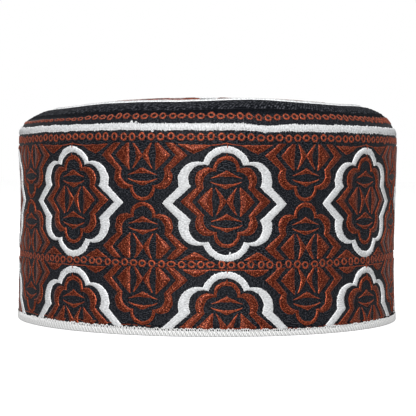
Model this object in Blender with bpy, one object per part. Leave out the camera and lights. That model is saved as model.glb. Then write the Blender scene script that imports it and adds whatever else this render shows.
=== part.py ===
"""Embroidered kufi, a round cap with an upright side and a low domed top.

It is sewn from three pieces: the side band, the crown on top of it, and the
binding folded over the band's bottom edge. The origin lies under the middle of
the cap, on the surface that it rests on. +Z is up and the front faces -Y.
"""

import math

import bmesh
import bpy
from mathutils import Vector
from mathutils.geometry import interpolate_bezier

MM = 0.001
SEGMENTS = 72
GAP = 0.3 * MM
MERGE_DISTANCE = 0.0005 * MM
SHARP_ANGLE = math.radians(40)

# Side of the cap, measured on its outside. It is narrowest at the waist.
WAIST_RADIUS = 93.2 * MM
WAIST_HEIGHT = 42 * MM
FLARE = 1.0 * MM
FLARE_REACH = 45 * MM
SIDE_TOP = 88 * MM
SIDE_STEPS = 6
BAND_THICKNESS = 2.4 * MM

# Top of the cap: a low dome that falls away faster towards its rim.
CROWN_HEIGHT = 109.2 * MM
CROWN_DROP = 4.25 * MM
CROWN_DROP_RADIUS = 78.5 * MM
CROWN_POWER = 2.5
CROWN_THICKNESS = 2.0 * MM
DOME_RADIUS = 76 * MM
DOME_STEPS = 7

# Rounded shoulder between the side and the dome, with the seam across it.
SHOULDER_STEPS = 12
SHOULDER_FULLNESS = 0.60
SEAM_STEP = 7
ALLOWANCE_DEPTH = 5 * MM
ALLOWANCE_THICKNESS = 1.2 * MM

# Binding folded over the bottom edge, which is pressed thinner inside it.
BINDING_RADIUS = 94.8 * MM
BINDING_THICKNESS = 0.9 * MM
BINDING_OUTER_LEG = 3.9 * MM
BINDING_INNER_LEG = 4.6 * MM
BINDING_ROUNDING = 0.25 * MM
EDGE_THICKNESS = 2.1 * MM
EDGE_RADIUS = BINDING_RADIUS - BINDING_THICKNESS - GAP
EDGE_BOTTOM = BINDING_THICKNESS + GAP
EDGE_TOP = BINDING_INNER_LEG + GAP
FIRST_FULL_HEIGHT = EDGE_TOP + 0.8 * MM

COTTON_BLACK = (0.020, 0.021, 0.026)
COTTON_WHITE = (0.80, 0.80, 0.79)


def side_radius(height):
    """Outside radius of the side of the cap at this height."""
    return WAIST_RADIUS + FLARE * ((height - WAIST_HEIGHT) / FLARE_REACH) ** 2


def dome_height(radius):
    """Height of the dome's outside at this radius."""
    return CROWN_HEIGHT - CROWN_DROP * (radius / CROWN_DROP_RADIUS) ** CROWN_POWER


def dome_slope(radius):
    """Fall of the dome for each unit of radius."""
    share = (radius / CROWN_DROP_RADIUS) ** (CROWN_POWER - 1)
    return CROWN_DROP * CROWN_POWER / CROWN_DROP_RADIUS * share


def shoulder_points():
    """One smooth curve from the top of the side to the rim of the dome, as (radius, height)."""
    start = Vector((side_radius(SIDE_TOP), SIDE_TOP))
    end = Vector((DOME_RADIUS, dome_height(DOME_RADIUS)))
    corner = Vector((start.x, end.y - dome_slope(DOME_RADIUS) * (start.x - end.x)))
    first_handle = start.lerp(corner, SHOULDER_FULLNESS)
    second_handle = end.lerp(corner, SHOULDER_FULLNESS)
    return interpolate_bezier(start, first_handle, second_handle, end, SHOULDER_STEPS + 1)


def outside_points():
    """Outside of the whole cap from the hem to the middle of the top, and the seam's place in it."""
    rise = (SIDE_TOP - FIRST_FULL_HEIGHT) / SIDE_STEPS
    heights = [FIRST_FULL_HEIGHT + rise * step for step in range(SIDE_STEPS)]
    side = [Vector((side_radius(height), height)) for height in heights]
    radii = [DOME_RADIUS * (1 - step / DOME_STEPS) for step in range(1, DOME_STEPS + 1)]
    dome = [Vector((radius, dome_height(radius))) for radius in radii]
    return side + shoulder_points() + dome, len(side) + SEAM_STEP


def directions(points):
    """Direction along the outside at each of its points, from the hem towards the top."""
    found = []
    for place in range(len(points)):
        before = points[max(place - 1, 0)]
        after = points[min(place + 1, len(points) - 1)]
        found.append((after - before).normalized())
    found[-1] = Vector((-1, 0))
    return found


def inward(direction):
    """Turns a direction along the outside into the one that points into the cap."""
    return Vector((-direction.y, direction.x))


def seam_side(seam, along, thickness, way):
    """Edge of one cloth at the seam: its cut face, the turned-in allowance and its inner corner."""
    face = seam + along * way * GAP / 2
    back = face + along * way * ALLOWANCE_THICKNESS
    into = inward(along)
    return [face, face + into * ALLOWANCE_DEPTH, back + into * ALLOWANCE_DEPTH, back + into * thickness]


def band_section():
    """Closed section of the side band."""
    points, seam = outside_points()
    along = directions(points)
    outside = points[:seam]
    inside = [point + inward(way) * BAND_THICKNESS for point, way in zip(outside, along)]
    edge_inner = EDGE_RADIUS - EDGE_THICKNESS
    hem_outside = [Vector((EDGE_RADIUS, EDGE_BOTTOM)), Vector((EDGE_RADIUS, EDGE_TOP))]
    hem_inside = [Vector((edge_inner, EDGE_TOP)), Vector((edge_inner, EDGE_BOTTOM))]
    top = seam_side(points[seam], along[seam], BAND_THICKNESS, -1)
    return hem_outside + outside + top + inside[-2::-1] + hem_inside


def crown_section():
    """Section of the crown from the middle of its outside round to the middle of its inside."""
    points, seam = outside_points()
    along = directions(points)
    outside = points[seam + 1 :]
    inside = [
        point + inward(way) * CROWN_THICKNESS for point, way in zip(outside, along[seam + 1 :])
    ]
    rim = seam_side(points[seam], along[seam], CROWN_THICKNESS, 1)
    return outside[::-1] + rim + inside[1:]


def binding_section():
    """Closed section of the binding: a channel, open at the top, round the band's bottom edge."""
    inner_radius = EDGE_RADIUS - EDGE_THICKNESS - GAP - BINDING_THICKNESS
    floor = BINDING_THICKNESS
    outer_slot = BINDING_RADIUS - BINDING_THICKNESS
    inner_slot = inner_radius + BINDING_THICKNESS
    corners = [
        (inner_radius, 0),
        (BINDING_RADIUS, 0),
        (BINDING_RADIUS, BINDING_OUTER_LEG),
        (outer_slot, BINDING_OUTER_LEG),
        (outer_slot, floor),
        (inner_slot, floor),
        (inner_slot, BINDING_INNER_LEG),
        (inner_radius, BINDING_INNER_LEG),
    ]
    return [Vector(corner) for corner in corners]


def turned(name, section, closed, material):
    """Spins a section once round the cap's axis into a closed body."""
    body = bmesh.new()
    ring = [body.verts.new((point.x, 0, point.y)) for point in section]
    edges = [body.edges.new(pair) for pair in zip(ring, ring[1:])]
    if closed:
        edges.append(body.edges.new((ring[-1], ring[0])))
    bmesh.ops.spin(
        body,
        geom=ring + edges,
        cent=(0, 0, 0),
        axis=(0, 0, 1),
        angle=math.tau,
        steps=SEGMENTS,
        use_merge=True,
    )
    bmesh.ops.remove_doubles(body, verts=body.verts, dist=MERGE_DISTANCE)
    bmesh.ops.recalc_face_normals(body, faces=body.faces)
    mesh = bpy.data.meshes.new(name)
    body.to_mesh(mesh)
    body.free()
    mesh.shade_smooth()
    mesh.set_sharp_from_angle(angle=SHARP_ANGLE)
    mesh.materials.append(material)
    piece = bpy.data.objects.new(name, mesh)
    bpy.context.scene.collection.objects.link(piece)
    return piece


def cloth(name, colour, roughness):
    """A plain matt cloth."""
    material = bpy.data.materials.new(name)
    material.use_nodes = True
    shader = material.node_tree.nodes["Principled BSDF"]
    shader.inputs["Base Color"].default_value = (*colour, 1)
    shader.inputs["Roughness"].default_value = roughness
    shader.inputs["Metallic"].default_value = 0
    return material


def side_band(material):
    """The upright side, with its top edge rolled over the shoulder and turned in at the seam."""
    return turned("side_band", band_section(), True, material)


def crown(material):
    """The domed top, sewn to the band with its own edge turned in beside the band's."""
    return turned("crown", crown_section(), False, material)


def hem_binding(material):
    """The white binding, flat underneath, where the cap rests on it."""
    piece = turned("hem_binding", binding_section(), True, material)
    rounding = piece.modifiers.new("rounding", "BEVEL")
    rounding.width = BINDING_ROUNDING
    rounding.segments = 1
    rounding.limit_method = "ANGLE"
    rounding.angle_limit = SHARP_ANGLE
    return piece


def build():
    for old in list(bpy.data.objects):
        bpy.data.objects.remove(old)
    black = cloth("black_cotton", COTTON_BLACK, 0.85)
    white = cloth("white_cotton", COTTON_WHITE, 0.75)
    side_band(black)
    crown(black)
    hem_binding(white)


build()
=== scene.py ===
import math

import bpy
import numpy as np
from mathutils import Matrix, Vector


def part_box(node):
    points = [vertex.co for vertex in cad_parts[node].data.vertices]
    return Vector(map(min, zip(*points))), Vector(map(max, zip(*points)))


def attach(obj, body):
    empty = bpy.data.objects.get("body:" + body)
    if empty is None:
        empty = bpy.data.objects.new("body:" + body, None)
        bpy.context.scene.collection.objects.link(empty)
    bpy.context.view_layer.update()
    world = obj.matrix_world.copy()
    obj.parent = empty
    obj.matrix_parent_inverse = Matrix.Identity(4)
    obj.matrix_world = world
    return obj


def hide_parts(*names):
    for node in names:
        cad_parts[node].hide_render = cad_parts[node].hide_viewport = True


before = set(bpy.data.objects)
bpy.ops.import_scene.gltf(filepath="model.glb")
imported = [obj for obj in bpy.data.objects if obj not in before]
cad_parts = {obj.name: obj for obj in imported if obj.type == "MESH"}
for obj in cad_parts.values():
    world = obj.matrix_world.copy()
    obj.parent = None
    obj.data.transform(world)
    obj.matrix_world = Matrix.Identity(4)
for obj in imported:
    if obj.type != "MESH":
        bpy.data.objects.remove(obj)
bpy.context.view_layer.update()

MM = 0.001
chance = np.random.default_rng(7)


# Studio: a white table top under plain white air, with a large soft light to the left of the camera, a low
# one in front, and weaker ones to the right, behind and above. The camera looks almost level at the cap.
CAMERA_DISTANCE = 780 * MM
CAMERA_HEIGHT = 77.3 * MM
CAMERA_ASIDE = 0.25 * MM
CAMERA_DIP = math.radians(1.66)
CAMERA_ROLL = math.radians(-0.34)
CAMERA_LENS = 134.05
SENSOR = 36

scene = bpy.context.scene
scene.view_settings.view_transform = "Standard"
scene.view_settings.look = "None"

camera_data = bpy.data.cameras.new("camera")
camera_data.lens = CAMERA_LENS
camera_data.sensor_width = SENSOR
camera_data.clip_start = 0.05
camera = bpy.data.objects.new("camera", camera_data)
camera.location = (CAMERA_ASIDE, -CAMERA_DISTANCE, CAMERA_HEIGHT)
camera.rotation_euler = (math.pi / 2 - CAMERA_DIP, CAMERA_ROLL, 0)
scene.collection.objects.link(camera)
scene.camera = camera


def soft_light(name, turn_deg, rise_deg, distance, width, height, watts):
    """A rectangular light aimed at the middle of the cap. turn_deg is its angle from the camera's side."""
    data = bpy.data.lights.new(name, "AREA")
    data.shape = "RECTANGLE"
    data.size = width
    data.size_y = height
    data.energy = watts
    light = bpy.data.objects.new(name, data)
    turn = math.radians(turn_deg)
    rise = math.radians(rise_deg)
    aim = Vector((0, 0, CAMERA_HEIGHT))
    reach = Vector((math.sin(turn) * math.cos(rise), -math.cos(turn) * math.cos(rise), math.sin(rise)))
    light.location = aim + reach * distance
    light.rotation_euler = reach.to_track_quat("Z", "Y").to_euler()
    scene.collection.objects.link(light)


LIGHTS = [
    # name, angle and rise in degrees, distance, width and height in metres, watts
    ("key_light", -22, 30, 1.7, 0.7, 0.6, 9),
    ("front_light", -4, 9, 1.7, 0.6, 0.25, 14),
    ("fill_light", 76, 20, 1.9, 1.0, 0.8, 4.0),
    ("back_light", 190, 35, 1.9, 1.2, 0.8, 6),
    ("top_light", 20, 70, 1.5, 1.2, 1.0, 8.5),
]
for light in LIGHTS:
    soft_light(*light)

NODE_STEP = 220
NODES_AT_MOST = 25


def feed(tree, socket, value):
    """Links an input socket to an output, or gives it a plain value. A colour is three numbers."""
    if isinstance(value, bpy.types.NodeSocket):
        tree.links.new(value, socket)
    elif socket.type == "RGBA":
        socket.default_value = (*value, 1)
    else:
        socket.default_value = value


def add_node(tree, kind, feeds, **settings):
    """A node with these settings, its inputs fed by name or number. Each stands to the right of the last."""
    node = tree.nodes.new(kind)
    node.location = (NODE_STEP * (len(tree.nodes) - NODES_AT_MOST), 0)
    for key, value in settings.items():
        setattr(node, key, value)
    for key, value in feeds.items():
        feed(tree, node.inputs[key], value)
    return node


def new_material(name):
    """A material, its node tree and its shader."""
    material = bpy.data.materials.new(name)
    material.use_nodes = True
    return material, material.node_tree, material.node_tree.nodes["Principled BSDF"]


def dress(tree, shader, feeds):
    """Feeds the shader's inputs."""
    for key, value in feeds.items():
        feed(tree, shader.inputs[key], value)


def remap(tree, value, low, high, to_low=0.0, to_high=1.0, **settings):
    """Brings a number from one range to another, and holds it there."""
    feeds = {"Value": value, "From Min": low, "From Max": high, "To Min": to_low, "To Max": to_high}
    return add_node(tree, "ShaderNodeMapRange", feeds, **settings).outputs["Result"]


ROOM_LIGHT = 0.505
world = bpy.data.worlds.new("studio_air")
world.use_nodes = True
air = world.node_tree
seen = add_node(air, "ShaderNodeLightPath", {}).outputs["Is Camera Ray"]
dress(air, air.nodes["Background"], {"Color": (1, 1, 1), "Strength": remap(air, seen, 0, 1, ROOM_LIGHT)})
scene.world = world

TABLE_RADIUS = 6.0
TABLE_SIDES = 96

table_points = [(0, 0, 0)]
for side in range(TABLE_SIDES):
    turn = math.tau * side / TABLE_SIDES
    table_points.append((TABLE_RADIUS * math.cos(turn), TABLE_RADIUS * math.sin(turn), 0))
table_faces = [(0, 1 + side, 1 + (side + 1) % TABLE_SIDES) for side in range(TABLE_SIDES)]
table_mesh = bpy.data.meshes.new("table_top")
table_mesh.from_pydata(table_points, [], table_faces)
white_paint, paint_tree, paint_shader = new_material("white_table_paint")
paint = {
    "Base Color": (0.85, 0.85, 0.85),
    "Emission Color": (1, 1, 1),
    "Emission Strength": 0.55,
    "Roughness": 0.9,
    "Specular IOR Level": 0.1,
}
dress(paint_tree, paint_shader, paint)
table_mesh.materials.append(white_paint)
table = bpy.data.objects.new("table_top", table_mesh)
table.visible_diffuse = False
table.visible_glossy = False
scene.collection.objects.link(table)


# Side band: one strip of black cotton, stiffened and closed into a ring. Its top is rolled over the
# shoulder to the seam and turned in there, and its bottom edge is pressed thinner inside the binding.
WAIST_RADIUS = 93.2 * MM
WAIST_HEIGHT = 42 * MM
FLARE = 1.0 * MM
FLARE_REACH = 45 * MM
SIDE_TOP = 88 * MM
CROWN_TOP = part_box("crown")[1][2]
CROWN_DROP = 4.25 * MM
CROWN_DROP_RADIUS = 78.5 * MM
CROWN_POWER = 2.5
DOME_RADIUS = 76 * MM
SHOULDER_FULLNESS = 0.60
SEAM_SHARE = 7 / 12
OUTLINE_STEPS = 400

# The cap is soft, so it isn't truly round: its left side bulges near the hem, its crown leans and is slack
# inside its ring, and the rim of the crown stands lower at the sides than at the front.
CROWN_LEAN = 0.008
LEAN_START = 92 * MM
LEAN_REACH = 10 * MM
WALL_REACH = 20 * MM
PUCKER_REACH = 7 * MM
BULGE = 0.6 * MM
BULGE_FOOT = 14 * MM
BULGE_TOP = 64 * MM
BULGE_FADE = 26 * MM
SLACK = 0.75 * MM
SLACK_RIGHT = 0.8 * MM
SLACK_TURN = math.radians(31)
SLACK_REACH = math.radians(19)
SLACK_RADIUS = 75 * MM
SLACK_FADE = 8 * MM
RIM_SHAPE = [
    # turn from the front in degrees, and how far the rim is pushed up there, in millimetres
    (-180, 0),
    (-140, -0.3),
    (-110, -0.9),
    (-90, -1.1),
    (-70, -1.2),
    (-59, -1.0),
    (-52, -0.8),
    (-48, -0.5),
    (-38, 0),
    (-10, 0),
    (-4, 0.3),
    (6, 0.6),
    (15, 0.9),
    (19, 0.8),
    (23, 0.6),
    (27, 0.3),
    (33, -0.1),
    (40, -0.4),
    (56, -0.6),
    (64, -0.5),
    (90, -0.2),
    (180, 0),
]
RIM_START = 98 * MM
RIM_REACH = 8 * MM
RAISED_RADIUS = 69 * MM
RAISED_REACH = 8 * MM
SUNK_RADIUS = 50 * MM
SUNK_REACH = 22 * MM


def side_radius(height):
    """Outside radius of the side of the cap at this height."""
    return WAIST_RADIUS + FLARE * ((height - WAIST_HEIGHT) / FLARE_REACH) ** 2


def dome_height(radius):
    """Height of the crown's outside at this radius."""
    return CROWN_TOP - CROWN_DROP * (radius / CROWN_DROP_RADIUS) ** CROWN_POWER


def way_along(line):
    """Distance along a line of points to each of them."""
    return np.concatenate([[0], np.cumsum(np.linalg.norm(np.diff(line, axis=0), axis=1))])


def cap_outline():
    """Outside of the cap from the surface it stands on to the middle of the crown, and where the seam is."""
    side_heights = np.linspace(0, SIDE_TOP, OUTLINE_STEPS, endpoint=False)
    slope = CROWN_DROP * CROWN_POWER / CROWN_DROP_RADIUS
    slope *= (DOME_RADIUS / CROWN_DROP_RADIUS) ** (CROWN_POWER - 1)
    start = np.array([side_radius(SIDE_TOP), SIDE_TOP])
    end = np.array([DOME_RADIUS, dome_height(DOME_RADIUS)])
    corner = np.array([start[0], end[1] - slope * (start[0] - end[0])])
    first = start + (corner - start) * SHOULDER_FULLNESS
    second = end + (corner - end) * SHOULDER_FULLNESS
    share = np.linspace(0, 1, OUTLINE_STEPS, endpoint=False)[:, None]
    rest = 1 - share
    shoulder = rest**3 * start + 3 * rest**2 * share * first + 3 * rest * share**2 * second + share**3 * end
    dome_radii = np.linspace(DOME_RADIUS, 0, OUTLINE_STEPS)
    line = np.concatenate(
        [
            np.stack([side_radius(side_heights), side_heights], -1),
            shoulder,
            np.stack([dome_radii, dome_height(dome_radii)], -1),
        ]
    )
    way = way_along(line)
    return line, way, way[OUTLINE_STEPS + round(OUTLINE_STEPS * SEAM_SHARE)]


outline, outline_way, SEAM_RISE = cap_outline()
outline_lean = np.gradient(outline, outline_way, axis=0)
CENTRE_RISE = outline_way[-1]


def smooth_step(value):
    """Eases from 0 to 1 as the value does."""
    value = np.clip(value, 0, 1)
    return value * value * (3 - 2 * value)


def from_front(turn):
    """The same angle, counted from the front: negative to the left of it, positive to the right."""
    return (turn + math.pi) % math.tau - math.pi


def swell(turn, rise):
    """How far the cloth stands off a true round: it is a little out of round, and puckers at the shoulder,
    and the crown is a little slack inside its ring, most of all to the right of the front."""
    wall = smooth_step(rise / WALL_REACH)
    radius = np.interp(rise, outline_way, outline[:, 0])
    inward_fade = radius / WAIST_RADIUS
    slack = SLACK + SLACK_RIGHT * np.exp(-(((from_front(turn) - SLACK_TURN) / SLACK_REACH) ** 2))
    slack = slack * smooth_step((SLACK_RADIUS - radius) / SLACK_FADE) * inward_fade
    shoulder = np.exp(-(((rise - SEAM_RISE) / PUCKER_REACH) ** 2))
    round_error = 0.22 * MM * np.sin(2 * turn + 0.7) + 0.12 * MM * np.sin(3 * turn + 2.1)
    waves = 0.13 * MM * np.sin(7 * turn + 1.1 + rise / (31 * MM))
    waves = waves + 0.09 * MM * np.sin(12 * turn - rise / (17 * MM))
    puckers = 0.11 * MM * np.sin(37 * turn + 2 * np.sin(5 * turn)) * shoulder
    left = np.clip(-np.sin(turn), 0, 1) ** 2
    bulge = BULGE * left * smooth_step(rise / BULGE_FOOT) * smooth_step((BULGE_TOP - rise) / BULGE_FADE)
    return (round_error + waves * wall + puckers) * inward_fade**2 + bulge - slack


def rim_uneven(turn, rise, radius):
    """How far the crown's rim is pushed up, or down where negative, as the soft cap stands unevenly."""
    degrees, pushes = zip(*RIM_SHAPE)
    push = np.interp(from_front(turn), np.radians(degrees), pushes) * MM
    raised = smooth_step((radius - RAISED_RADIUS) / RAISED_REACH)
    sunk = smooth_step((radius - SUNK_RADIUS) / SUNK_REACH)
    return push * np.where(push > 0, raised, sunk) * smooth_step((rise - RIM_START) / RIM_REACH)


def place(turn, rise, lift=0.0):
    """Point on the cap: turn is the angle round it from the front, towards +X, rise is the way up its
    outside from where it stands, and lift is how far the point stands off the cloth."""
    turn, rise, lift = np.broadcast_arrays(turn, rise, lift)
    radius, height = (np.interp(rise, outline_way, outline[:, axis]) for axis in (0, 1))
    across, up = (np.interp(rise, outline_way, outline_lean[:, axis]) for axis in (0, 1))
    lift = lift + swell(turn, rise)
    radius = radius + lift * up
    height = height - lift * across
    sideways = radius * np.sin(turn)
    height = height + CROWN_LEAN * sideways * smooth_step((rise - LEAN_START) / LEAN_REACH)
    height = height + rim_uneven(turn, rise, radius)
    return np.stack([sideways, -radius * np.cos(turn), height], -1)


def angles(steps, closed=False):
    """So many even angles right round, and the full turn after them where it is closed."""
    return np.linspace(0, math.tau, steps + closed, endpoint=closed)


def together(*numbers):
    """Coordinates made from numbers for each row, each column or both."""
    return np.stack(np.broadcast_arrays(*numbers), -1)


def patch(points, marks, wrap=(False, False), *, depth, caps=()):
    """A grid of points as faces. marks are its map coordinates, with one more row or column where it wraps.
    depth is a number for each point, and caps closes the first or last column with one face."""
    rows, columns = points.shape[:2]
    row, column = np.indices((rows if wrap[0] else rows - 1, columns if wrap[1] else columns - 1))
    corners = [(row, column), (row + 1, column), (row + 1, column + 1), (row, column + 1)]
    faces = np.stack([(r % rows) * columns + c % columns for r, c in corners], -1).reshape(-1, 4)
    width = marks.shape[1]
    spots = np.stack([r * width + c for r, c in corners], -1).reshape(-1, 4)
    faces, spots = faces.tolist(), spots.tolist()
    for column in caps:
        ring = list(range(rows)) if column else list(range(rows))[::-1]
        faces.append([r * columns + (columns - 1 if column else 0) for r in ring])
        spots.append([r * width + (width - 1 if column else 0) for r in ring])
    return {
        "points": points.reshape(-1, 3),
        "faces": faces,
        "spots": spots,
        "marks": marks.reshape(-1, 2),
        "depth": depth.reshape(-1),
    }


def sewn_piece(name, patches, material, map_name="thread"):
    """One object from patches, with its map in millimetres and its depth stored for the material."""
    points, faces, corner_marks, depth = [], [], [], []
    count = 0
    for part in patches:
        points.append(part["points"])
        depth.append(part["depth"])
        faces.extend([[count + corner for corner in face] for face in part["faces"]])
        corner_marks.append(part["marks"][[spot for face in part["spots"] for spot in face]])
        count += len(part["points"])
    mesh = bpy.data.meshes.new(name)
    mesh.from_pydata(np.concatenate(points).tolist(), [], faces)
    layer = mesh.uv_layers.new(name=map_name)
    layer.uv.foreach_set("vector", (np.concatenate(corner_marks) / MM).astype(np.float32).ravel())
    inset = mesh.attributes.new("inset", "FLOAT", "POINT")
    inset.data.foreach_set("value", (np.concatenate(depth) / MM).astype(np.float32))
    mesh.shade_smooth()
    mesh.materials.append(material)
    piece = bpy.data.objects.new(name, mesh)
    scene.collection.objects.link(piece)
    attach(piece, "root")
    return piece


CLOTH_COLOUR = (0.0016, 0.0024, 0.0040)
# The weave's lighter thread tops are a painted sheen. The next colour is a dimmer painted sheen for cloth
# that faces up, on the crown and at the band's top: partly the duller look of the stitched cloth there,
# partly painted shade against the top light.
CLOTH_GLINT = (0.172, 0.176, 0.205)
TOP_FACE_GLINT_AND_SHADE = (0.034, 0.035, 0.042)
PRESSED_RISE = 98.5 * MM
PRESSED_REACH = 3 * MM
BAND_THICKNESS = 2.4 * MM
BAND_COLUMNS = 384
BAND_ROW = 1.25 * MM
INSIDE_ROW = 6 * MM
SEAM_GAP = 0.3 * MM
ALLOWANCE_DEPTH = 5 * MM
ALLOWANCE_THICKNESS = 1.2 * MM
HEM_PRESS = 0.42 * MM
HEM_EDGE = 1.25 * MM
HEM_COVERED = 4.9 * MM

# A material's pitches and stretches are in the millimetres of its piece's flat map, here and further on.
WEAVE_PITCH = 0.46
SLUB_STRETCH = (1.2, 2.2, 1)


def flat_map(tree, name):
    """The piece's flat map, in millimetres."""
    return add_node(tree, "ShaderNodeUVMap", {}, uv_map=name).outputs["UV"]


def inset_number(tree):
    """The number that sewn_piece stores for each point."""
    return add_node(tree, "ShaderNodeAttribute", {}, attribute_name="inset").outputs["Fac"]


def mapped(tree, where, stretch=(1, 1, 1), turn=0.0):
    """The map stretched, or turned."""
    feeds = {"Vector": where, "Scale": stretch, "Rotation": (0, 0, turn)}
    return add_node(tree, "ShaderNodeMapping", feeds).outputs["Vector"]


def thread_waves(tree, where, direction, pitch, distortion, detail, detail_scale=1.0):
    """Threads side by side, one every pitch. A wave texture of scale 1 repeats every tenth of pi."""
    feeds = {"Vector": where, "Scale": math.pi / 10 / pitch, "Distortion": distortion}
    feeds |= {"Detail": detail, "Detail Scale": detail_scale}
    return add_node(tree, "ShaderNodeTexWave", feeds, bands_direction=direction).outputs["Fac"]


def noise(tree, where, scale, detail, roughness=0.5):
    """Uneven mottling."""
    feeds = {"Vector": where, "Scale": scale, "Detail": detail, "Roughness": roughness}
    return add_node(tree, "ShaderNodeTexNoise", feeds).outputs["Fac"]


def times(tree, first, second):
    """Two numbers multiplied."""
    return add_node(tree, "ShaderNodeMath", {0: first, 1: second}, operation="MULTIPLY").outputs[0]


def blend(tree, share, first, second, **settings):
    """Two colours mixed by a share."""
    feeds = {"Factor": share, "A": first, "B": second}
    return add_node(tree, "ShaderNodeMix", feeds, data_type="RGBA", **settings).outputs["Result"]


def relief(tree, height, strength, distance):
    """Small bumps as high as a number says."""
    feeds = {"Height": height, "Strength": strength, "Distance": distance}
    return add_node(tree, "ShaderNodeBump", feeds).outputs["Normal"]


def woven_cloth(name, glint, roughness, pressed_roughness):
    """Matt plain-woven cotton: warp and weft cross in the map's two directions, their tops lighter with a
    painted sheen.
    The inset number says where it lies pressed under rows of black stitching: it has another gloss there,
    and a dimmer painted sheen, partly for the stitching and partly as painted shade against the top light."""
    material, tree, shader = new_material(name)
    where = flat_map(tree, "cloth")
    uneven = {"distortion": 0.35, "detail": 1, "detail_scale": 1.5}
    warp, weft = (thread_waves(tree, where, way, WEAVE_PITCH, **uneven) for way in "XY")
    weave = times(tree, warp, weft)
    slub = noise(tree, mapped(tree, where, SLUB_STRETCH), scale=1.0, detail=2)
    shine = times(tree, weave, remap(tree, slub, low=0.46, high=0.68))
    pressed = inset_number(tree)
    # Painted shade: the sheen colour is dimmed where the cloth faces up under the top light, partly also for
    # the stitched cloth's duller look.
    dulled_and_shaded_glint = blend(tree, pressed, glint, TOP_FACE_GLINT_AND_SHADE)
    feeds = {
        "Base Color": blend(tree, shine, CLOTH_COLOUR, dulled_and_shaded_glint),
        "Normal": relief(tree, shine, strength=0.4, distance=0.10 * MM),
        "Roughness": remap(tree, pressed, 0, 1, roughness, pressed_roughness),
        "Specular IOR Level": 0.045,
    }
    dress(tree, shader, feeds)
    return material


black_cotton = woven_cloth("black_woven_cotton", CLOTH_GLINT, roughness=0.48, pressed_roughness=1.0)


def round_cloth(path, columns):
    """Cloth turned round the cap along a path of (rise, lift), closed on itself."""
    path = np.array(path)
    turns = angles(columns)
    points = place(turns[:, None], path[None, :, 0], path[None, :, 1])
    along = way_along(np.concatenate([path, path[:1]]))
    across = angles(columns, True) * WAIST_RADIUS
    pressed = smooth_step((path[:, 0] - PRESSED_RISE) / PRESSED_REACH) * MM
    marks = together(across[:, None], along[None, :])
    return patch(points, marks, (True, True), depth=np.tile(pressed, columns))


def spaced(start, stop, step):
    """Numbers from start to stop, about a step apart."""
    return np.linspace(start, stop, max(2, round(abs(stop - start) / step) + 1))


seam_edge = SEAM_RISE - SEAM_GAP / 2
band_path = [(HEM_EDGE, -HEM_PRESS), (HEM_COVERED - 0.6 * MM, -HEM_PRESS)]
band_path += [(rise, 0) for rise in spaced(HEM_COVERED, seam_edge, BAND_ROW)]
band_path += [(seam_edge, -depth) for depth in spaced(1 * MM, ALLOWANCE_DEPTH, 1 * MM)]
band_path += [(seam_edge - ALLOWANCE_THICKNESS, -depth) for depth in (ALLOWANCE_DEPTH, BAND_THICKNESS)]
band_path += [(rise, -BAND_THICKNESS) for rise in spaced(seam_edge - 2 * MM, HEM_EDGE, INSIDE_ROW)]
side_cloth = sewn_piece(
    "side_band_cloth", [round_cloth(band_path, BAND_COLUMNS)], black_cotton, "cloth"
)
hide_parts("side_band")


# Crown: a disc of the same black cotton, domed, with its edge turned in against the band's at the seam.
# Rows of black stitching run round its rim and draw the cloth into narrow ridges.
CROWN_THICKNESS = 2.0 * MM
CROWN_COLUMNS = 400
CENTRE_HOLE = 0.4 * MM
RIM_INNER_RADIUS = 78.6 * MM
RIM_ROW = 0.22 * MM
CROWN_ROW = 2.8 * MM
RIDGE_PITCH = 1.75 * MM
RIDGE_HEIGHT = 0.24 * MM
STITCH_SLANT = math.radians(32)
STITCH_SPACING = 1.15
# The colour of the painted sheen on the slanting black stitches.
STITCH_GLINT = (0.072, 0.074, 0.086)


def rise_at_radius(radius):
    """Rise of a place on the top, from its distance to the middle of the crown."""
    top = outline_way > SIDE_TOP
    return np.interp(-np.asarray(radius), -outline[top, 0], outline_way[top])


RIM_RISE = float(rise_at_radius(RIM_INNER_RADIUS))


def stitched_ridges(turn, rise):
    """Height of the ridges between the rows of stitching on the crown's rim."""
    row = (rise - SEAM_RISE) / RIDGE_PITCH
    fade = smooth_step((RIM_RISE - rise) / RIDGE_PITCH) * smooth_step((rise - SEAM_RISE) / (0.5 * MM))
    crossing = 0.70 + 0.18 * np.sin(83 * turn + 2.2 * np.floor(row)) + 0.12 * np.sin(151 * turn + row)
    return RIDGE_HEIGHT * np.abs(np.sin(math.pi * row)) ** 0.7 * crossing * fade


def crown_cloth_patch():
    """The crown's cloth, from the middle of its inside out to the seam and back over the top."""
    edge = SEAM_RISE + SEAM_GAP / 2
    middle = CENTRE_RISE - CENTRE_HOLE
    path = [(rise, -CROWN_THICKNESS) for rise in spaced(middle, edge + 2 * MM, INSIDE_ROW)]
    path += [(edge + ALLOWANCE_THICKNESS, -depth) for depth in (CROWN_THICKNESS, ALLOWANCE_DEPTH)]
    path += [(edge, -depth) for depth in spaced(ALLOWANCE_DEPTH, 1 * MM, 1 * MM)]
    path += [(rise, 0) for rise in spaced(edge, RIM_RISE, RIM_ROW)]
    path += [(rise, 0) for rise in spaced(RIM_RISE + 1 * MM, middle, CROWN_ROW)]
    path = np.array(path)
    turns = angles(CROWN_COLUMNS)[:, None]
    outside = path[None, :, 1] == 0
    lift = path[None, :, 1] + np.where(outside, stitched_ridges(turns, path[None, :, 0]), 0)
    points = place(turns, path[None, :, 0], lift)
    map_turns = angles(CROWN_COLUMNS, True)[:, None]
    from_middle = CENTRE_RISE - path[None, :, 0]
    marks = np.stack([from_middle * np.sin(map_turns), -from_middle * np.cos(map_turns)], -1)
    stitched = outside & (path[None, :, 0] < RIM_RISE + 0.5 * MM)
    round_marks = together(RIM_INNER_RADIUS * map_turns, path[None, :, 0])
    marks = np.where(stitched[..., None], round_marks, marks)
    stitched = np.repeat(stitched, CROWN_COLUMNS, axis=0)
    return patch(points, marks, (True, False), depth=stitched * MM, caps=(0, 1))


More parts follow.
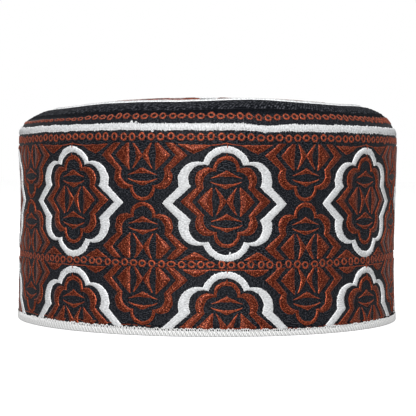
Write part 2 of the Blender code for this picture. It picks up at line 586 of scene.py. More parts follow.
def stitched_cotton(name):
    """The black cotton with slanting black stitches over it, where the inset number says it is stitched. The
    stitches show as lines of painted sheen, and all the cloth has the dimmer painted sheen, partly painted
    shade against the top light.
    """
    material = woven_cloth(name, TOP_FACE_GLINT_AND_SHADE, roughness=0.9, pressed_roughness=0.75)
    tree = material.node_tree
    shader = tree.nodes["Principled BSDF"]
    cloth = shader.inputs["Base Color"].links[0].from_socket
    where = flat_map(tree, "cloth")
    slant = mapped(tree, where, turn=STITCH_SLANT)
    lines = thread_waves(tree, slant, "X", STITCH_SPACING, distortion=2.5, detail=2, detail_scale=0.8)
    patchy = remap(tree, noise(tree, where, scale=0.7, detail=2), low=0.46, high=0.60)
    shown = times(tree, lines, patchy)
    masked = times(tree, shown, inset_number(tree))
    # Painted sheen: the stitch lines are lighter than the cloth.
    colour = blend(tree, masked, cloth, STITCH_GLINT)
    dress(tree, shader, {"Base Color": colour, "Specular IOR Level": 0.02})
    return material


black_stitching = stitched_cotton("black_stitched_cotton")
crown_cloth = sewn_piece("crown_cloth", [crown_cloth_patch()], black_stitching, "cloth")
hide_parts("crown")


# Hem binding: a white cotton edging, overlocked round the band's bottom edge. Its threads slant across
# the face and stand in a row of small loops along the top, with the black cloth dark inside each loop.
HEM_LOOPS = 600
HEM_STEPS_PER_LOOP = 3
HEM_RIDGE = 0.20 * MM
HEM_SLANT = 1.5
HEM_SECTION = [
    # radius, height
    (93.95, 1.10),
    (93.98, 2.10),
    (94.28, 2.42),
    (94.66, 2.38),
    (94.86, 2.10),
    (94.94, 1.70),
    (94.96, 1.22),
    (94.92, 0.66),
    (94.74, 0.26),
    (94.34, 0.06),
    (93.40, 0.04),
    (92.00, 0.04),
    (91.10, 0.10),
    (90.58, 0.50),
    (90.38, 1.20),
    (90.38, 2.60),
    (90.42, 3.90),
    (90.65, 4.40),
    (90.95, 4.40),
    (91.12, 4.00),
    (91.14, 1.15),
    (91.45, 0.95),
    (93.60, 0.95),
]
LOOP_RADIUS = 94.66 * MM
LOOP_HEIGHT = 2.66 * MM
LOOP_REACH = 0.35 * MM
LOOP_RISE = 0.56 * MM
LOOP_THREAD = 0.18 * MM
LOOP_SIZES = (0.72, 1.30)
OPEN_LOOPS = 0.42
KNIT_PITCH = 1.5
KNIT_SLANT = math.radians(-38)
LOOP_STEPS = 10
LOOP_SIDES = 5
LOOP_LEAN = 0.25
# The colour of the painted shade in the binding's dips.
YARN_DIP_SHADE = (0.36, 0.36, 0.36)
YARN_WHITE = (0.875, 0.875, 0.87)
YARN_FLECK = 0.30

# The binding wasn't folded quite evenly: how much wider it is at these turns from the front, in millimetres.
HEM_TURNS = np.radians([-110, -60, -45, -33, -23, -13, -4, 5, 14, 24, 35, 47, 60, 110])
HEM_WIDER = [0.25, 1.08, 1.14, 0.88, 0.84, 0.50, 0.55, 0.50, 0.27, -0.12, 0.20, 0.48, 0.5, 0.25]
HEM_TOP = 3.55 * MM


def hem_wider(turn):
    """How much wider than usual the binding is here."""
    return np.interp(from_front(turn), HEM_TURNS, HEM_WIDER) * MM


def hem_place(turn, radius, height):
    """Point of the binding, whose cloth follows the band's and is as wide as hem_wider says."""
    height = height * (1 + hem_wider(turn) / HEM_TOP)
    radius = radius + swell(turn, height)
    return together(radius * np.sin(turn), -radius * np.cos(turn), height)


def binding_patch():
    """The whole binding, ribbed, with its ridges slanting up from the bottom edge."""
    section = np.array(HEM_SECTION[::-1]) * MM
    closed = np.concatenate([section, section[:1]])
    way = way_along(closed)
    ahead = np.roll(section, -1, axis=0) - np.roll(section, 1, axis=0)
    ahead /= np.linalg.norm(ahead, axis=1)[:, None]
    columns = HEM_LOOPS * HEM_STEPS_PER_LOOP
    turns = angles(columns)[:, None]
    slant = HEM_SLANT * way[None, :-1] / (math.tau * LOOP_RADIUS / HEM_LOOPS)
    wave = np.abs(np.sin(turns * HEM_LOOPS / 2 + math.pi * slant))
    ridge = HEM_RIDGE * (wave - 1)
    radius = section[None, :, 0] + ridge * ahead[None, :, 1]
    height = section[None, :, 1] - ridge * ahead[None, :, 0]
    across = angles(columns, True) * LOOP_RADIUS
    marks = together(across[:, None], way[None, :])
    return patch(hem_place(turns, radius, height), marks, (True, True), depth=wave * MM)


def hem_loop(number):
    """One small ring of thread standing at the top of the binding, leaning the way the threads slant."""
    turn = math.tau * number / HEM_LOOPS
    size = LOOP_SIZES[chance.random() < OPEN_LOOPS] + 0.08 * chance.standard_normal()
    ring = angles(LOOP_STEPS)[:, None]
    side = angles(LOOP_SIDES)[None, :]
    reach = (LOOP_REACH * size + LOOP_THREAD * np.cos(side)) * np.cos(ring)
    rise = (LOOP_RISE * size + LOOP_THREAD * np.cos(side)) * np.sin(ring)
    out = LOOP_THREAD * np.sin(side) + 0 * ring
    turns = turn + (reach - LOOP_LEAN * rise) / LOOP_RADIUS
    points = hem_place(turns, LOOP_RADIUS + out, LOOP_HEIGHT + rise)
    along = angles(LOOP_STEPS, True)[:, None] * LOOP_REACH + turn * LOOP_RADIUS
    around = angles(LOOP_SIDES, True)[None, :] * LOOP_THREAD
    depth = np.full(points.shape[:2], MM)
    return patch(points, together(along, around), (True, True), depth=depth)


def edging_yarn(name):
    """Soft white cotton yarn, with grey painted shade where it dips between the ridges."""
    material, tree, shader = new_material(name)
    where = flat_map(tree, "yarn")
    fibre = noise(tree, where, scale=1.6, detail=5, roughness=0.7)
    slant = mapped(tree, where, turn=KNIT_SLANT)
    courses = thread_waves(tree, slant, "X", KNIT_PITCH, distortion=1.5, detail=1)
    broken = remap(tree, courses, low=0, high=1, to_low=0.4)
    raised = times(tree, inset_number(tree), broken)
    shade = remap(tree, raised, low=0.1, high=0.62)
    # Painted shade: grey in the dips, white on the raised yarn.
    colour = blend(tree, shade, YARN_DIP_SHADE, YARN_WHITE)
    feeds = {
        "Base Color": blend(tree, YARN_FLECK, colour, fibre, blend_type="MULTIPLY"),
        "Normal": relief(tree, raised, strength=0.7, distance=0.16 * MM),
        "Roughness": 0.85,
        "Specular IOR Level": 0.25,
        "Sheen Weight": 0.15,
    }
    dress(tree, shader, feeds)
    return material


white_yarn = edging_yarn("white_edging_yarn")
binding = sewn_piece("hem_binding_edging", [binding_patch()], white_yarn, "yarn")
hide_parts("hem_binding")
loops = [hem_loop(number) for number in range(HEM_LOOPS)]
sewn_piece("hem_binding_loops", loops, white_yarn, "yarn")


# White medallions: satin stitch in white thread, laid from rail to rail of a lobed outline. A row of
# eight goes round the middle of the band, and the hem cuts through eight more below them.
REPEATS = 8
REPEAT_WIDTH = 75.4 * MM
FRONT_TURN = math.radians(4.8)
EASE = math.radians(1.6)
PULL = math.radians(0.9)
PULL_TURN = math.radians(52)
PULL_REACH = math.radians(15)
STITCH_PITCH = 0.50 * MM
STITCH_RIDGE = 0.060 * MM
STITCH_SINK = 0.14 * MM
STITCH_ROUGHNESS = 0.17 * MM
WOBBLE = 0.10 * MM
WOBBLE_STEP = 1.9 * MM
CREST_OUT = 0.3
CREST_SPREAD = 0.9
VALLEY_OUT = -0.6
SATIN_HEIGHT = 0.62 * MM
LEAST_HEIGHT = 0.45
HEIGHT_SPREAD = 0.05
SHORTEST_THREAD = 0.1 * MM
TINY = 1e-7
FULL_WIDTH = 2.2 * MM
CURVE_STEP = 0.35 * MM
ACROSS = np.array([0, 0.07, 0.24, 0.5, 0.76, 0.93, 1])
STREAK_STRETCH = (2.4, 0.8, 1)
SPECK_STRETCH = (2.2, 1.5, 1)
HEM_CUT = 3.5 * MM
MEDALLION_RISE = 59.3 * MM
LOWER_MEDALLION_RISE = 3.6 * MM

# One quarter of each outline, in millimetres from its middle: the tip, the notch beside it, the notch
# beside the top lobe, and how far the side, top and bottom lobes bow out from their chords.
OUTLINES = {
    # name: tip, side_notch, top_notch, side_bow, top_bow, bottom_bow
    "white_outer": (28.5, (20.9, 7.5), (10.4, 18.5), 4.45, 7.2, 7.2),
    "white_inner": (23.6, (15.4, 7.4), (7.7, 16.9), 4.4, 5.8, 5.8),
    "rust_outer": (20.5, (12.9, 6.55), (6.0, 14.65), 4.15, 5.85, 5.85),
    "rust_inner": (15.3, (9.8, 6.1), (4.45, 13.4), 2.6, 5.15, 5.4),
}


def band_turn(along):
    """Angle round the cap of a place on the flat pattern, which is eased unevenly round the front."""
    turn = along / (REPEATS * REPEAT_WIDTH) * math.tau + FRONT_TURN
    gap = from_front(turn - PULL_TURN)
    return turn + EASE * np.sin(turn) + PULL * np.exp(-((gap / PULL_REACH) ** 2))


PULL_TURNS = np.radians([-110, -70, -50, -30, -10, 10, 30, 50, 70, 110])
PULL_RISES = np.array([8, 27, 46, 65, 84, 99, 108]) * MM
PULLED_ALONG = [
    (0, 0.9, 0.8, 0.6, 0.4, 0.8, 1.5, 2.1, 2.5, 0),
    (0, 0.3, 0.3, 0.4, 0.4, 0.8, 0.9, 1.0, 1.3, 0),
    (0, -0.2, -0.1, 0.2, 0.4, 0.6, 0.4, 0.2, 0.5, 0),
    (0, -0.4, -0.1, 0, 0, 0.1, -0.1, -0.3, 0, 0),
    (0, -0.5, -0.4, -0.1, 0.1, 0.3, 0, -0.4, -0.3, 0),
    (0, -0.5, -0.4, -0.1, 0.1, 0.3, 0, -0.4, -0.3, 0),
    (0, 0, 0, 0, 0, 0, 0, 0, 0, 0),
]
PULLED_UP = [
    (0, 0.7, 0.5, 0.5, 0, -0.4, -0.3, 0.1, 0.7, 0),
    (0, 0.5, 0.6, 0.5, 0.1, -0.1, -0.2, 0.1, 0.6, 0),
    (0, 0.1, 0.4, 0.4, 0.1, 0, -0.1, 0.2, 0.5, 0),
    (0, -0.4, -0.1, 0.2, 0, 0, 0, 0.2, 0.3, 0),
    (0, -0.9, -0.2, 0, 0, -0.1, -0.2, 0, 0, 0),
    (0, -1.2, -0.4, -0.1, 0, -0.1, -0.2, -0.2, -0.7, 0),
    (0, 0, 0, 0, 0, 0, 0, 0, 0, 0),
]
DIP_TURN = math.radians(16.4)
DIP_REACH = math.radians(5)
DIP_RISES = np.array([85, 92, 99.4, 106]) * MM
DIP_DEPTHS = np.array([0, 0.4, 1.2, 0]) * MM


def pulled(turn, rise, table):
    """How far the pattern is pulled out of true here, from a table of millimetres: rises by turns."""
    turn = from_front(turn)
    row = np.interp(rise, PULL_RISES, np.arange(len(PULL_RISES)))
    near = [np.clip(1 - np.abs(row - number), 0, 1) for number in range(len(table))]
    return sum(share * np.interp(turn, PULL_TURNS, line) for share, line in zip(near, table)) * MM


def on_band(along, rise, lift):
    """Puts a place on the flat pattern onto the band, with the real sewing's small pulls and its dip."""
    along, rise = np.broadcast_arrays(along, rise)
    turn = band_turn(along)
    dip = np.interp(rise, DIP_RISES, DIP_DEPTHS) * np.exp(-(((turn - DIP_TURN) / DIP_REACH) ** 2))
    moved = rise + pulled(turn, rise, PULLED_UP) - dip
    return place(turn + pulled(turn, rise, PULLED_ALONG) / WAIST_RADIUS, moved, lift)


def bowed(start, end, bow, steps):
    """A line from start to end in so many steps, on a circle that bows out to the right by bow."""
    start, end = np.array(start, float), np.array(end, float)
    share = np.linspace(0, 1, steps + 1)[:, None]
    chord = end - start
    if bow == 0:
        return start + chord * share
    length = np.hypot(*chord)
    radius = (length**2 / 4 + bow**2) / (2 * bow)
    angle = 2 * math.atan2(2 * bow, length) * (2 * share - 1)
    outward = np.array([chord[1], -chord[0]]) / length
    middle = (start + end) / 2 + outward * (bow - radius)
    return middle + radius * (np.sin(angle) * chord / length + np.cos(angle) * outward)


def half_lobe_bow(reach, depth):
    """Bow of half the arc over a lobe that is 2 * reach wide and depth high."""
    radius = (reach**2 + depth**2) / (2 * depth)
    return radius - math.sqrt(radius**2 - (reach**2 + depth**2) / 4)


def outline_legs(name):
    """The right half of an outline, from its lowest point round the tip to its highest."""
    tip, (side_u, side_v), (top_u, top_v), side_bow, top_bow, bottom_bow = OUTLINES[name]
    corners = [(0, -top_v - bottom_bow), (top_u, -top_v), (side_u, -side_v), (tip, 0)]
    corners += [(side_u, side_v), (top_u, top_v), (0, top_v + top_bow)]
    bows = [half_lobe_bow(top_u, bottom_bow), side_bow, 0, 0, side_bow, half_lobe_bow(top_u, top_bow)]
    return list(zip(corners, corners[1:], bows))


def rails(*leg_pairs):
    """Matched right and left rails, in metres, from pairs of legs of (start, end, bow) in millimetres."""
    sides = [[], []]
    for pair in leg_pairs:
        length = max(math.dist(start, end) + bow for start, end, bow in pair)
        steps = max(3, round(length * MM / CURVE_STEP))
        for side, leg in zip(sides, pair):
            line = bowed(*leg, steps)
            side.append(line if not side else line[1:])
    return [np.concatenate(side) * MM for side in sides]


def ring_rails(outer, inner):
    """Rails of the two halves of a lobed ring, both run counterclockwise."""
    right, left = rails(*zip(outline_legs(outer), outline_legs(inner)))
    mirror = np.array([-1, 1])
    return [(right, left), (right[::-1] * mirror, left[::-1] * mirror)]


def along_line(line, way, marks):
    """Places on a line at these distances along it."""
    return np.stack([np.interp(marks, way, line[:, axis]) for axis in (0, 1)], -1)


def satin(right, left, lay, height=SATIN_HEIGHT, pitch=STITCH_PITCH, across=ACROSS, cut=(-1, 1), rough=1.0):
    """Threads laid side by side from the right rail to the left one, as patches. Each is a crest between
    two valleys. lay puts a place on the pattern onto the cap, and threads stop at the two rises in cut."""
    step = (np.hypot(*np.diff(right, axis=0).T) + np.hypot(*np.diff(left, axis=0).T)) / 2
    way = np.concatenate([[0], np.cumsum(step)])
    stitches = max(2, round(way[-1] / pitch))
    marks = np.linspace(0, way[-1], 2 * stitches + 1)
    crest = np.arange(len(marks)) % 2
    start, end = along_line(right, way, marks), along_line(left, way, marks)
    thread = end - start
    span = np.hypot(*thread.T)
    thread = thread / np.maximum(span, TINY)[:, None]
    narrow = np.minimum(1, span / FULL_WIDTH)
    spread = rough * STITCH_ROUGHNESS * narrow
    wobbles = [chance.standard_normal(int(way[-1] / WOBBLE_STEP) + 2) * WOBBLE for _ in range(2)]
    for_ends = []
    for _ in range(2):
        out = CREST_OUT + chance.normal(0, CREST_SPREAD, len(marks))
        for_ends.append(spread * np.where(crest, out, VALLEY_OUT))
    for ends, wobble in zip(for_ends, wobbles):
        ends += np.interp(marks / WOBBLE_STEP, np.arange(len(wobble)), wobble) * narrow
    start = start - thread * for_ends[0][:, None]
    end = end + thread * for_ends[1][:, None]
    low = np.maximum(start[:, 1], end[:, 1]) > cut[0]
    high = np.minimum(start[:, 1], end[:, 1]) < cut[1]
    fall = end[:, 1] - start[:, 1]
    flat = np.abs(fall) < TINY
    fall = np.where(flat, TINY, fall)
    meets = [np.clip((limit - start[:, 1]) / fall, 0, 1) for limit in cut]
    first = np.where(flat, 0, np.minimum(*meets))
    last = np.where(flat, 1, np.maximum(*meets))
    keep = low & high & ((last - first) * span > SHORTEST_THREAD)
    whole = end - start
    start, end = start + whole * first[:, None], start + whole * last[:, None]
    span = np.hypot(*(end - start).T)
    full = height * np.clip(span / FULL_WIDTH, LEAST_HEIGHT, 1)
    full = full * (1 + HEIGHT_SPREAD * chance.standard_normal(len(marks)))
    pillow = (1 - np.abs(2 * across - 1) ** 3) ** 0.7
    ridge = STITCH_RIDGE * np.where(crest, 1, -1)
    lift = (full + ridge + STITCH_SINK)[:, None] * pillow - STITCH_SINK
    spot = start[:, None] + (end - start)[:, None] * across[None, :, None]
    points = lay(spot[..., 0], spot[..., 1], lift)
    depth = span[:, None] * np.minimum(across, 1 - across)
    uv = together(marks[:, None], span[:, None] * across)
    uv[..., 0] += 1000 * chance.random() * MM
    found, first_row = [], None
    for row, kept in enumerate([*keep, False]):
        if kept and first_row is None:
            first_row = row
        elif not kept and first_row is not None:
            if row - first_row > 2:
                rows = slice(first_row, row)
                found.append(patch(points[rows], uv[rows], depth=depth[rows]))
            first_row = None
    return found


def shifted(pair, along, rise, scale=1):
    """A pair of rails put at a place on the pattern, larger or smaller."""
    return [side * scale + np.array([along, rise]) for side in pair]


def sewn_motif(pairs, along, rise, lay, scale=1, **how):
    """Satin between each of some pairs of rails, all put at one place on the pattern."""
    found = []
    for pair in pairs:
        found += satin(*shifted(pair, along, rise, scale), lay, **how)
    return found


def thread_material(name, core, edge, glint, roughness, metal, contrast, specular):
    """Satin embroidery thread: its own deeper colour in the middle of a column, a painted highlight along
    the edges where they turn down, streaked from stitch to stitch, with small painted glints."""
    material, tree, shader = new_material(name)
    where = flat_map(tree, "thread")
    inner = remap(tree, inset_number(tree), low=0.15, high=0.60, interpolation_type="SMOOTHSTEP")
    # Painted highlight: the edge colour along the column's edges, over the thread's own core colour.
    body = blend(tree, inner, edge, core)
    streak = noise(tree, mapped(tree, where, STREAK_STRETCH), scale=1.0, detail=2)
    speck = noise(tree, mapped(tree, where, SPECK_STRETCH), scale=1.0, detail=1)
    tone = remap(tree, streak, low=0.32, high=0.68, to_low=1 - contrast, to_high=1 + contrast)
    streaked = add_node(tree, "ShaderNodeVectorMath", {0: body, "Scale": tone}, operation="SCALE")
    # Painted glints: specks of the glint colour.
    spark = remap(tree, speck, low=0.54, high=0.74)
    feeds = {
        "Base Color": blend(tree, spark, streaked.outputs["Vector"], glint),
        "Normal": relief(tree, speck, strength=0.8, distance=0.12 * MM),
        "Roughness": roughness,
        "Specular IOR Level": specular,
        "Metallic": metal,
    }
    dress(tree, shader, feeds)
    return material


white_thread = thread_material(
    "white_satin_thread",
    core=(0.500, 0.508, 0.516),
    # edge is the painted highlight along the columns' edges, and glint the painted glints.
    edge=(0.860, 0.870, 0.880),
    glint=(0.72, 0.73, 0.74),
    roughness=0.42,
    metal=0.0,
    contrast=0.38,
    specular=0.3,
)
white_ring = ring_rails("white_outer", "white_inner")
medallions = []
lower_medallions = []
for repeat in range(REPEATS):
    along = repeat * REPEAT_WIDTH
    for half in white_ring:
        medallions += satin(*shifted(half, along, MEDALLION_RISE), on_band)
        lower_medallions += satin(*shifted(half, along, LOWER_MEDALLION_RISE), on_band, cut=(HEM_CUT, 1))
sewn_piece("white_medallions", medallions, white_thread)
sewn_piece("white_lower_medallions", lower_medallions, white_thread)


# White stripe and crown ring: two bands of the same white satin, one round the shoulder and one on the
# top just inside the stitched rim.
STRIPE_LOW = 91.8 * MM
STRIPE_WIDTH = 3.5 * MM
CROWN_RING_RADIUS = 77.0 * MM
CROWN_RING_WIDTH = 4.0 * MM


def stripe_rails(low, high):
    """Rails right round the cap at two rises, with the small waver of machine stitching."""
    along = np.linspace(0, REPEATS * REPEAT_WIDTH, 1500)
    turn = along / along[-1] * math.tau
    waver = 0.07 * MM * (np.sin(9 * turn + 1) + np.sin(23 * turn) + np.sin(41 * turn + 2))
    return [np.stack([along, rise + waver], -1) for rise in (low, high)]


stripe = satin(*stripe_rails(STRIPE_LOW, STRIPE_LOW + STRIPE_WIDTH), on_band, rough=1.5)
sewn_piece("white_shoulder_stripe", stripe, white_thread)
ring_low = float(rise_at_radius(CROWN_RING_RADIUS))
ring_pitch = STITCH_PITCH * WAIST_RADIUS / CROWN_RING_RADIUS
crown_ring = satin(*stripe_rails(ring_low, ring_low + CROWN_RING_WIDTH), on_band, pitch=ring_pitch)
sewn_piece("white_crown_ring", crown_ring, white_thread)


# Rust medallions: the same lobed ring, smaller, in rust satin. One lies inside each white medallion, and
# between them stand others half a repeat along, cut off level by the rows of rings and by the hem.
RUST_SATIN = {"height": 0.5 * MM, "across": np.array([0, 0.08, 0.3, 0.7, 0.92, 1])}
RUST_ASIDE = 0.25 * MM
RUST_ABOVE = 0.85 * MM
HALF_DROPS = [
    # middle, lowest and highest rise, in millimetres
    (79.9, 20.0, 86.3),
    (38.5, 34.3, 90.0),
    (24.3, 3.5, 30.7),
]

rust_thread = thread_material(
    "rust_satin_thread",
    core=(0.064, 0.0080, 0.0030),
    # edge is the painted highlight along the columns' edges, and glint the painted glints.
    edge=(0.300, 0.0520, 0.0190),
    glint=(0.62, 0.165, 0.078),
    roughness=0.32,
    metal=0.5,
    contrast=0.85,
    specular=0.14,
)


def motif_places():
    """Every rust motif on the band, as its place along, its rise and the rises that it is cut at."""
    for repeat in range(REPEATS):
        along = repeat * REPEAT_WIDTH + RUST_ASIDE
        yield along, MEDALLION_RISE + RUST_ABOVE, (0, 1)
        yield along, LOWER_MEDALLION_RISE + RUST_ABOVE, (HEM_CUT, 1)
        for middle, lowest, highest in HALF_DROPS:
            yield along + REPEAT_WIDTH / 2, middle * MM + RUST_ABOVE, (lowest * MM, highest * MM)


rust_ring = ring_rails("rust_outer", "rust_inner")
rust_rings = []
for along, rise, cut in motif_places():
    rust_rings += sewn_motif(rust_ring, along, rise, on_band, **RUST_SATIN, cut=cut)
half_way = len(rust_rings) // 2
sewn_piece("rust_medallions_a", rust_rings[:half_way], rust_thread)
sewn_piece("rust_medallions_b", rust_rings[half_way:], rust_thread)


# Rust fillings: inside each rust ring lie two eyes, each an upper and a lower lid round a black slit,
# and between them a pair of leaves that touch at the waist, with a triangle outside each leaf.
FILL_SATIN = {"height": 0.42 * MM, "across": np.array([0, 0.12, 0.5, 0.88, 1])}
EYE_MIDDLES = [(0.0, 9.75), (0.0, -9.6)]


def eye_rails():
    """The two lids of an eye, threads upright, in millimetres from its middle."""
    slit_bow = -half_lobe_bow(7.0, 0.7)
    upper = rails(
        [((-6.9, 0.6), (0, 1.5), slit_bow), ((-6.9, 0.9), (0, 4.35), 0.2)],
        [((0, 1.5), (6.9, 0.6), slit_bow), ((0, 4.35), (6.9, 0.9), 0.2)],
    )
    lower = rails(
        [((-6.9, -1.1), (-3.2, -2.7), 0.2), ((-6.9, -0.7), (-3.2, -1.75), 0.1)],
        [((-3.2, -2.7), (0, -4.15), 0.1), ((-3.2, -1.75), (0, -2.0), 0.05)],
        [((0, -4.15), (3.2, -2.7), 0.1), ((0, -2.0), (3.2, -1.75), 0.05)],
        [((3.2, -2.7), (6.9, -1.1), 0.2), ((3.2, -1.75), (6.9, -0.7), 0.1)],
    )
    return [upper, lower]


def leaf_rails():
    """The right leaf and the triangle outside it, threads level, in millimetres from the motif's middle."""
    edge_bow = -half_lobe_bow(6.0, 1.2)
    leaf = rails(
        [((4.8, -5.9), (3.05, 0.15), edge_bow), ((4.2, -5.9), (-0.35, 0.15), -0.12)],
        [((3.05, 0.15), (5.0, 6.2), edge_bow), ((-0.35, 0.15), (4.5, 6.2), -0.12)],
    )
    triangle = rails(
        [((6.5, -6.5), (13.1, 0.0), 0.15), ((6.0, -6.5), (6.0, 0.0), 0.05)],
        [((13.1, 0.0), (6.5, 6.3), 0.15), ((6.0, 0.0), (6.0, 6.3), 0.05)],
    )
    return [leaf, triangle]


def both_sides(pair):
    """A pair of rails and its mirror image."""
    return [pair, [side[::-1] * np.array([-1, 1]) for side in pair]]


filling_rails = [shifted(lid, u * MM, v * MM) for u, v in EYE_MIDDLES for lid in eye_rails()]
filling_rails += [side for pair in leaf_rails() for side in both_sides(pair)]
fillings = []
for along, rise, cut in motif_places():
    fillings += sewn_motif(filling_rails, along, rise, on_band, **FILL_SATIN, cut=cut)
sewn_piece("rust_fillings", fillings, rust_thread)


# Corner fillings: a rust triangle in each corner left between the medallions and a row of rings, and a
# thin line of rust over each white top lobe. They are satin too, sewn after the medallions.
CORNERS = {
    # name: base start, base end, point, bow of its sides, medallion's rise
    "top": ((-21.3, 26.5), (-6.2, 26.1), (-14.2, 22.0), 0.15, MEDALLION_RISE),
    "foot": ((-20.2, -25.2), (-7.6, -25.2), (-14.2, -21.3), 0.10, MEDALLION_RISE),
    "lower_top": ((-19.4, 26.4), (-7.4, 26.4), (-13.6, 23.0), 0.45, LOWER_MEDALLION_RISE),
}
LINE_WIDTH = 0.42
LINE_SATIN = {"height": 0.3 * MM, "across": FILL_SATIN["across"]}


def corner_rails(base_start, base_end, point, bow):
    """Rails of a triangle: its base, and the two sides that meet in its point."""
    middle = (point[0], (base_start[1] + base_end[1]) / 2)
    base = [(base_start, middle, 0), (middle, base_end, 0)]
    if point[1] < middle[1]:
        sides = [(base_start, point, bow), (point, base_end, bow)]
        return rails(*zip(sides, base))
    sides = [(base_start, point, -bow), (point, base_end, -bow)]
    return rails(*zip(base, sides))


def thin_rails(width, *spots):
    """Rails of a thin line through spots, in millimetres."""
    spots = np.array(spots, float)
    ahead = np.gradient(spots, axis=0)
    ahead /= np.linalg.norm(ahead, axis=1)[:, None]
    side = np.stack([ahead[:, 1], -ahead[:, 0]], -1) * width / 2
    return [(spots + side) * MM, (spots - side) * MM]


corners = []
for repeat in range(REPEATS):
    along = repeat * REPEAT_WIDTH
    for base_start, base_end, point, bow, rise in CORNERS.values():
        triangles = both_sides(corner_rails(base_start, base_end, point, bow))
        corners += sewn_motif(triangles, along, rise, on_band, **FILL_SATIN)
    peak = 26.8 + 0.2 * chance.standard_normal()
    line = thin_rails(LINE_WIDTH, (-6.4, 26.0), (-3.2, 26.3), (0, peak), (3.2, 26.3), (6.4, 26.0))
    corners += satin(*shifted(line, along, MEDALLION_RISE), on_band, **LINE_SATIN)
    lower_line = thin_rails(LINE_WIDTH, (-7.6, 26.3), (0, 26.2), (7.6, 26.3))
    corners += satin(*shifted(lower_line, along, LOWER_MEDALLION_RISE), on_band, **LINE_SATIN)
sewn_piece("rust_corners", corners, rust_thread)


# Rows of rings: little rust rings of satin side by side, with a short stitch from each to the next. One
# row runs under the shoulder stripe, one along the middle of the band and one above the stripe.
RINGS = 17 * REPEATS
RING_RISES = {"middle": 32.2 * MM, "upper": 89.0 * MM, "shoulder": 99.4 * MM}
RING_OUTER = 1.82
RING_INNER = 0.80
RING_SATIN = {"height": 0.5 * MM, "pitch": 0.62 * MM, "across": np.array([0, 0.2, 0.8, 1])}
RING_STEPS = 24
RING_OVAL = 0.12
RING_NUDGE = 0.16
RING_BUMPS = 0.06
TIE_SATIN = {"height": 0.2 * MM, "across": RING_SATIN["across"]}
TIE_WIDTH = 0.34
FLATTENED = 0.46
LOWERED = 0.7 * MM
FLAT_START = math.radians(25)
FLAT_REACH = math.radians(25)

ring_thread = thread_material(
    "rust_ring_thread",
    core=(0.085, 0.0112, 0.0044),
    # edge is the painted highlight along the columns' edges, and glint the painted glints.
    edge=(0.225, 0.0385, 0.0145),
    glint=(0.52, 0.150, 0.074),
    roughness=0.34,
    metal=0.4,
    contrast=0.75,
    specular=0.18,
)


def ring_of_thread(along, rise, lay, tall=1.0):
    """One ring, a little uneven, as stitched rings are. tall flattens it where the shoulder was pressed."""
    turn = angles(RING_STEPS, True) + chance.random() * math.tau
    oval = RING_OVAL * chance.standard_normal() * np.cos(2 * turn)
    unit = np.stack([np.cos(turn), np.sin(turn)], -1)
    nudge = RING_NUDGE * chance.standard_normal(2)
    outer = unit * (RING_OUTER + oval + RING_BUMPS * np.sin(5 * turn))[:, None] + nudge
    inner = unit * (RING_INNER + oval)[:, None] + nudge * 0.8
    pair = shifted([outer * MM * [1, tall], inner * MM * [1, tall]], along, rise)
    return satin(*pair, lay, **RING_SATIN)


ring_width = REPEATS * REPEAT_WIDTH / RINGS
for name, rise in RING_RISES.items():
    row = []
    for ring in range(RINGS):
        along = (ring + 0.5) * ring_width
        left = -from_front(band_turn(along))
        pressed = smooth_step((left - FLAT_START) / FLAT_REACH) * smooth_step(math.pi - left)
        pressed = pressed if name == "shoulder" else 0
        row += ring_of_thread(along, rise - LOWERED * pressed, on_band, 1 - FLATTENED * pressed)
        tie = thin_rails(TIE_WIDTH, (-0.62, 0.15), (0.0, 0.0), (0.62, -0.15))
        row += satin(*shifted(tie, along + ring_width / 2, rise), on_band, **TIE_SATIN)
    sewn_piece("rust_rings_" + name, row, ring_thread)


# Loose ends: machine embroidery leaves single threads between its motifs. A rust one passes under the top
# lobe of each white medallion and shows on both sides of it, white ones stand up from the stripe, and rust
# stitches tack the binding's edge.
LOOSE_RADIUS = 0.13 * MM
LOOSE_SIDES = 5
TACK_RISE = 3.80 * MM
TACK_PITCH = 3.1 * MM


def loose_thread(spots, lay, radius=LOOSE_RADIUS):
    """A single round thread through spots of (along, rise, lift), with its ends in the cloth."""
    spots = np.array(spots, float)
    way = way_along(spots)
    marks = np.linspace(0, way[-1], 3 * len(spots))
    spots = np.stack([np.interp(marks, way, spots[:, axis]) for axis in range(3)], -1)
    spots[1:-1] = (spots[:-2] + 2 * spots[1:-1] + spots[2:]) / 4
    line = lay(*spots.T)
    out = lay(*(spots + [0, 0, MM]).T) - line
    ahead = np.gradient(line, axis=0)
    side = np.cross(ahead, out)
    side /= np.linalg.norm(side, axis=1)[:, None]
    up = np.cross(side, ahead)
    up /= np.linalg.norm(up, axis=1)[:, None]
    turn = angles(LOOSE_SIDES)
    ring = side[:, None] * np.cos(turn)[None, :, None] + up[:, None] * np.sin(turn)[None, :, None]
    around = angles(LOOSE_SIDES, True) * radius
    uv = together(marks[:, None], around[None, :])
    depth = np.full(ring.shape[:2], 0.3 * MM)
    return patch(line[:, None] + ring * radius, uv, (False, True), depth=depth)


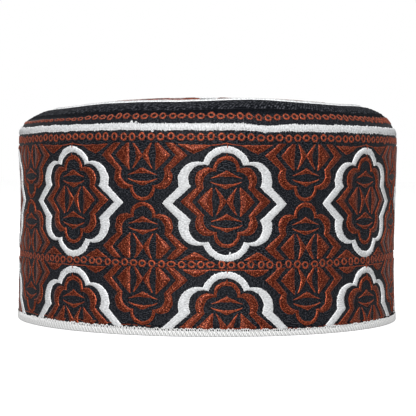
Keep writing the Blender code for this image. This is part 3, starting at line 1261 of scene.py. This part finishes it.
jumps = []
for repeat in range(REPEATS):
    along = repeat * REPEAT_WIDTH + RUST_ASIDE
    for rise in (MEDALLION_RISE, LOWER_MEDALLION_RISE):
        sway = 0.15 * chance.standard_normal(4)
        outer = [(sway[0], 27.4, -0.1), (sway[1], 26.4, 0.45), (sway[1], 25.2, 0.8), (sway[1], 24.9, 0.5)]
        inner = [(sway[2], 22.2, 0.5), (sway[2], 21.9, 0.8), (sway[3], 21.0, 0.5), (sway[3], 20.0, 0.4)]
        for spots in (outer, inner):
            jumps.append(loose_thread(np.array(spots) * MM + [along, rise, 0], on_band, 0.2 * MM))
tacks = round(REPEATS * REPEAT_WIDTH / TACK_PITCH)
for tack in range(tacks):
    if chance.random() < 0.3:
        continue
    start = tack * TACK_PITCH + 0.4 * MM * chance.standard_normal()
    reach = TACK_PITCH * (0.55 + 0.3 * chance.random())
    rise = TACK_RISE + hem_wider(band_turn(start)) + 0.12 * MM * chance.standard_normal()
    slant = 0.15 * MM * chance.standard_normal()
    spots = [(start, rise, -0.1 * MM), (start + 0.2 * MM, rise, 0.2 * MM)]
    spots += [(start + reach - 0.2 * MM, rise + slant, 0.2 * MM), (start + reach, rise + slant, -0.1 * MM)]
    jumps.append(loose_thread(spots, on_band, 0.19 * MM))
sewn_piece("rust_loose_threads", jumps, rust_thread)

STRIPE_FLUFF = [
    # place along, rise and reach, in millimetres: the last one stands on the front medallion's foot
    (-43.4, 95.0, 1.1),
    (-43.0, 95.0, 0.7),
    (-41.0, 95.0, 0.7),
    (-32.8, 91.9, -1.0),
    (-26.7, 92.0, -0.8),
    (-25.0, 92.1, -0.6),
    (150.0, 95.2, 0.8),
    (121.0, 91.9, -0.8),
    (178.0, 95.2, 0.9),
    (-150.0, 95.1, 0.8),
    (0.9, MEDALLION_RISE / MM - 23.4, 2.2),
]
fluff = []
for along, rise, reach in STRIPE_FLUFF:
    for strand in range(3):
        lean = 0.35 * chance.standard_normal()
        spots = [(along, rise, 0.2), (along + lean, rise + reach * 0.6, 0.9)]
        spots += [(along + 0.3 + lean, rise + reach, 0.8), (along + 0.7, rise + 0.3 * reach, 0.3)]
        fluff.append(loose_thread(np.array(spots) * MM, on_band))
sewn_piece("white_loose_threads", fluff, white_thread)


# Crown embroidery: inside the white ring, a row of rust rings, then eight rust medallions set outwards
# round a white one in the middle. It is stitched flat on the disc before the cap is made up.
CROWN_MOTIFS = 8
CROWN_MOTIF_RADIUS = 48.0 * MM
CROWN_MOTIF_SIZE = 0.78
CROWN_MIDDLE_SIZE = 0.92
CROWN_RINGS = 112
CROWN_RINGS_RADIUS = 69.8 * MM
CROWN_CORNER_RADIUS = 61.0 * MM


def on_crown(turn, radius):
    """Puts a motif's flat places onto the crown, upright along the radius at this turn."""

    def lay(aside, out, lift):
        away = radius + out
        x = away * math.sin(turn) + aside * math.cos(turn)
        y = -away * math.cos(turn) + aside * math.sin(turn)
        return place(np.arctan2(x, -y), rise_at_radius(np.hypot(x, y)), lift)

    return lay


def rust_motif(lay, size):
    """One whole rust medallion with its fillings."""
    found = sewn_motif(rust_ring, 0, 0, lay, size, **RUST_SATIN)
    return found + sewn_motif(filling_rails, 0, 0, lay, size, **FILL_SATIN)


crown_rust = rust_motif(on_crown(0, 0), CROWN_MIDDLE_SIZE)
corner = rails(
    [((-1.0, -5.2), (5.2, 3.0), -0.5), ((-1.4, -5.2), (0, 3.0), 0)],
    [((5.2, 3.0), (5.4, 3.4), 0), ((0, 3.0), (0, 3.4), 0)],
)
for motif in range(CROWN_MOTIFS):
    turn = math.tau * (motif + 0.5) / CROWN_MOTIFS
    crown_rust += rust_motif(on_crown(turn, CROWN_MOTIF_RADIUS), CROWN_MOTIF_SIZE)
    lay = on_crown(turn + math.pi / CROWN_MOTIFS, CROWN_CORNER_RADIUS)
    crown_rust += sewn_motif(both_sides(corner), 0, 0, lay, **FILL_SATIN)
sewn_piece("rust_crown_medallions", crown_rust, rust_thread)

crown_rings = []
for ring in range(CROWN_RINGS):
    lay = on_crown(math.tau * ring / CROWN_RINGS, CROWN_RINGS_RADIUS)
    crown_rings += ring_of_thread(0, 0, lay)
sewn_piece("rust_crown_rings", crown_rings, ring_thread)

crown_white = sewn_motif(white_ring, 0, 0, on_crown(0, 0), CROWN_MIDDLE_SIZE)
sewn_piece("white_crown_medallion", crown_white, white_thread)
